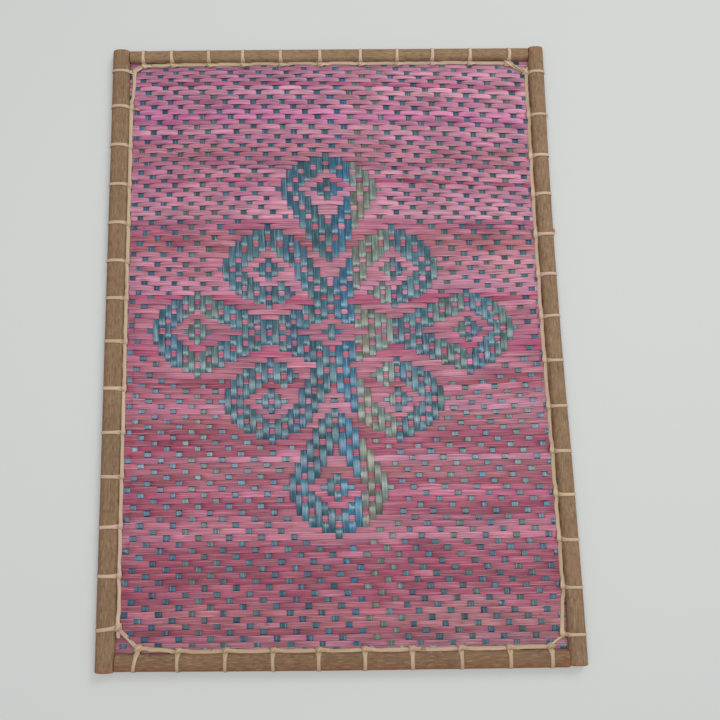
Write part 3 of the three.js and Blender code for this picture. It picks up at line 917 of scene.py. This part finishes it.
def strand(name, start, end, rng):
    """Rungs between two knots, lying snug against the rail's foot."""
    side, (way, _, wide) = SIDES[name], COURSE[name]
    (s, u), (t, v) = knot_at(side, start), knot_at(side, end)
    snug, height, tip = STRAND_LIE[name]
    rungs = []
    for place in STRAND_PLACES:
        nearer = snug * rng.uniform(0.7, 1.2)
        if {start, end} & {0, len(side["stitches"]) - 1}:
            nearer *= END_SNUG
        if name == "top" and {start, end} & TOP_PULLED[0]:
            nearer += TOP_PULLED[1]
        rungs.append(rung(side, way, s + (t - s) * place, u + (v - u) * place - nearer + rng.normal(0, 0.08),
                          height, rng.normal(0, 0.8), wide * rng.uniform(*STRAND_PLAY), tip))
    return rungs


def loose(name, index, tone, wide, points, mark):
    """A loose bit of the strip, with a thinned end."""
    side = SIDES[name]
    s, u = knot_at(side, index)
    tones = {"pink": CANE_PINK, "pale": CANE_YELLOW * 1.15, "grey": CANE_GREY, "bark": BARK_ORANGE * 1.2,
             "dark": CANE_DARK, "brown": CANE_BROWN}
    rungs = [rung(side, 1, s + ds, u + du, z, heading, wide, *tip) for ds, du, z, heading, *tip in points]
    return cane(rungs, tones[tone], mark, thick=LOOSE_THICK, tips=(1, 0.5))


# The runs across the corners: (side, knot) that each comes from, (side, knot, way, width) that it goes to.
CORNERS = {
    ("top", 10): ("left", 0, 1, 2.2), ("left", 13): ("bottom", 0, 1, 2.5),
    ("bottom", 0): ("left", 13, -1, 2.3), ("right", 0): ("bottom", 9, -1, 1.7),
}
# Second strips beside them: (lacing, two ends of (side, knot, s, u), width).
BESIDE = (
    ("left", ("top", 10, 2.6, -0.4), ("left", 0, -2.4, -0.6), 1.5),
    ("left", ("left", 13, 1.6, 0.2), ("bottom", 0, -1.2, 0.2), 1.6),
    ("right", ("top", 0, -2.0, 0.4), ("right", 13, 1.4, -0.2), 1.3),
)


def beside(start, end, wide, tone, mark):
    """A strip from one side's knot straight to another's."""
    ends = []
    for name, index, ds, du in (start, end):
        s, u = knot_at(SIDES[name], index)
        ends.append(on_side(SIDES[name], s + ds, u + du, 0))
    course = ends[1] - ends[0]
    across = np.cross(course, (0, 0, 1)) / np.linalg.norm(course) * wide / 2 * MM
    rungs = []
    for place, z in ((0, 2.9), (0.15, 3.4), (0.5, 3.2), (0.85, 3.4), (1, 2.9)):
        middle = ends[0] + course * place + (0, 0, z * MM)
        rungs.append((middle - across, middle + across))
    return cane(rungs, tone, mark)


# Fuller knots, by side and knot: (size, shift along s). Then the usual size of the others on a side.
FULL_KNOTS = {
    ("left", 13): (1.35, 0), ("right", 13): (1.4, 1.6), ("bottom", 0): (1.35, 0), ("top", 0): (1.45, 0.6),
}
FULL_USUAL = {"left": 0, "bottom": 1.05, "right": 0, "top": 0.85}


def run_on(name, index, rng):
    """Rungs from one slot to the next: the wrap, its bend into the strand, the strand and its crossing."""
    way, there = COURSE[name][0], index + COURSE[name][0]
    rungs = wrap(name, index, rng)
    if 0 <= there < len(SIDES[name]["stitches"]):
        rungs += part_of_knot(name, index, way, BEND, rng)
        rungs += strand(name, index, there, rng)
        return rungs + part_of_knot(name, there, way, CROSSING, rng)
    side, knot, turned, wide = CORNERS[name, index]
    rungs += part_of_knot(name, index, way, SLANT_OUT, rng, wide=wide)
    return rungs + part_of_knot(side, knot, turned, SLANT_IN, rng, wide=wide)


def knot_turns(name, index, tone, rng):
    """The turns that lie over a knot."""
    way = COURSE[name][0]
    turns = []
    if name in ("bottom", "top"):
        turns.append(cane(part_of_knot(name, index, way, TURN, rng, 0.95), tone * 0.96, 40 + index,
                          tips=(0.6, 0.8)))
    size, shift = FULL_KNOTS.get((name, index), (FULL_USUAL[name], 0))
    if not size:
        turns.append(cane(part_of_knot(name, index, way, PAD, rng, rng.uniform(0.85, 1.05)), tone * 1.03,
                          160 + index, tips=(0.6, 0.6)))
    if name == "right":
        turns.append(cane(part_of_knot(name, index, way, BARB, rng), tone, 180 + index, tips=(1, 0.4)))
    for k, shape in enumerate((RING, *FULL) if size else ()):
        moved = [(ds + way * shift, *rest) for ds, *rest in shape]
        rungs = part_of_knot(name, index, way, moved, rng, size * rng.uniform(0.88, 1.08))
        turns.append(cane(rungs, tone * (0.96, 0.93, 1.05)[k], 100 + 20 * k + index, tips=(0.7, 0.7)))
    return turns


def lacing(name, rng):
    """All the cane strips along one side."""
    count = len(SIDES[name]["stitches"])
    tones = cane_tones(rng, count) * np.array(CANE_TONE_AND_LIGHT[name])
    groups = []
    for index in range(count):
        groups.append(cane(run_on(name, index, rng), tones[index], index))
        groups += knot_turns(name, index, tones[index], rng)
    if name == "right":
        away = part_of_knot("top", 0, 1, SLANT_IN, rng, wide=2)[::-1]
        rungs = [r[::-1] for r in away] + part_of_knot("right", count - 1, -1, SLANT_IN, rng, wide=2)
        groups.append(cane(rungs, tones[-1], 60))
    for mark, (at_side, start, end, wide) in enumerate(BESIDE):
        if at_side == name:
            groups.append(beside(start, end, wide, tones[-1] * 0.97, 90 + mark))
    for mark, (at_side, *bit) in enumerate(LOOSE):
        if at_side == name:
            groups.append(loose(name, *bit, 70 + mark))
    return strips(f"lacing_cane_{name}", groups, CANE_SHARP)


for number, (name, side) in enumerate(SIDES.items()):
    put(rail(name, side, np.random.default_rng(30 + number)), bark, "rail", f"rail_{name}")
    put(lacing(name, np.random.default_rng(40 + number)), pale_cane, "lacing", f"lacing_{name}")

# ---- floor and light ----
FLOOR_REACH = 4
FLOOR_COLOUR = (0.62, 0.63, 0.61, 1)
ROOM_COLOUR = (0.95, 0.97, 1.0, 1)
ROOM_LIGHT = 0.43

bm = bmesh.new()
bmesh.ops.create_grid(bm, x_segments=1, y_segments=1, size=FLOOR_REACH)
floor_mesh = bpy.data.meshes.new("floor")
bm.to_mesh(floor_mesh)
bm.free()
floor = placed("floor", floor_mesh)
floor_paint = bpy.data.materials.new("floor paint")
floor_paint.use_nodes = True
floor_shader = floor_paint.node_tree.nodes["Principled BSDF"]
floor_shader.inputs["Base Color"].default_value = FLOOR_COLOUR
floor_shader.inputs["Roughness"].default_value = 0.8
floor.data.materials.append(floor_paint)

world = bpy.data.worlds.new("soft room")
world.use_nodes = True
sky = world.node_tree.nodes["Background"]
sky.inputs["Color"].default_value = ROOM_COLOUR
sky.inputs["Strength"].default_value = ROOM_LIGHT
scene.world = world


def lamp(name, place, size, power, target=(0, 0, 0)):
    """A rectangular lamp that looks at target."""
    data = bpy.data.lights.new(name, "AREA")
    data.shape = "RECTANGLE"
    data.size, data.size_y = size
    data.energy = power
    light = placed(name, data)
    light.location = place
    direction = np.subtract(target, place)
    pitch = math.acos(-direction[2] / np.linalg.norm(direction))
    light.rotation_euler = (pitch, 0, math.atan2(-direction[0], direction[1]))


lamp("overhead light", (0.05, -0.03, 1.2), (1.7, 0.26), 8.4, target=(0.05, -0.03, 0))
lamp("window light", (1.4, 1.9, 1.6), (1.6, 1.0), 27)
scene.view_settings.view_transform = "Standard"
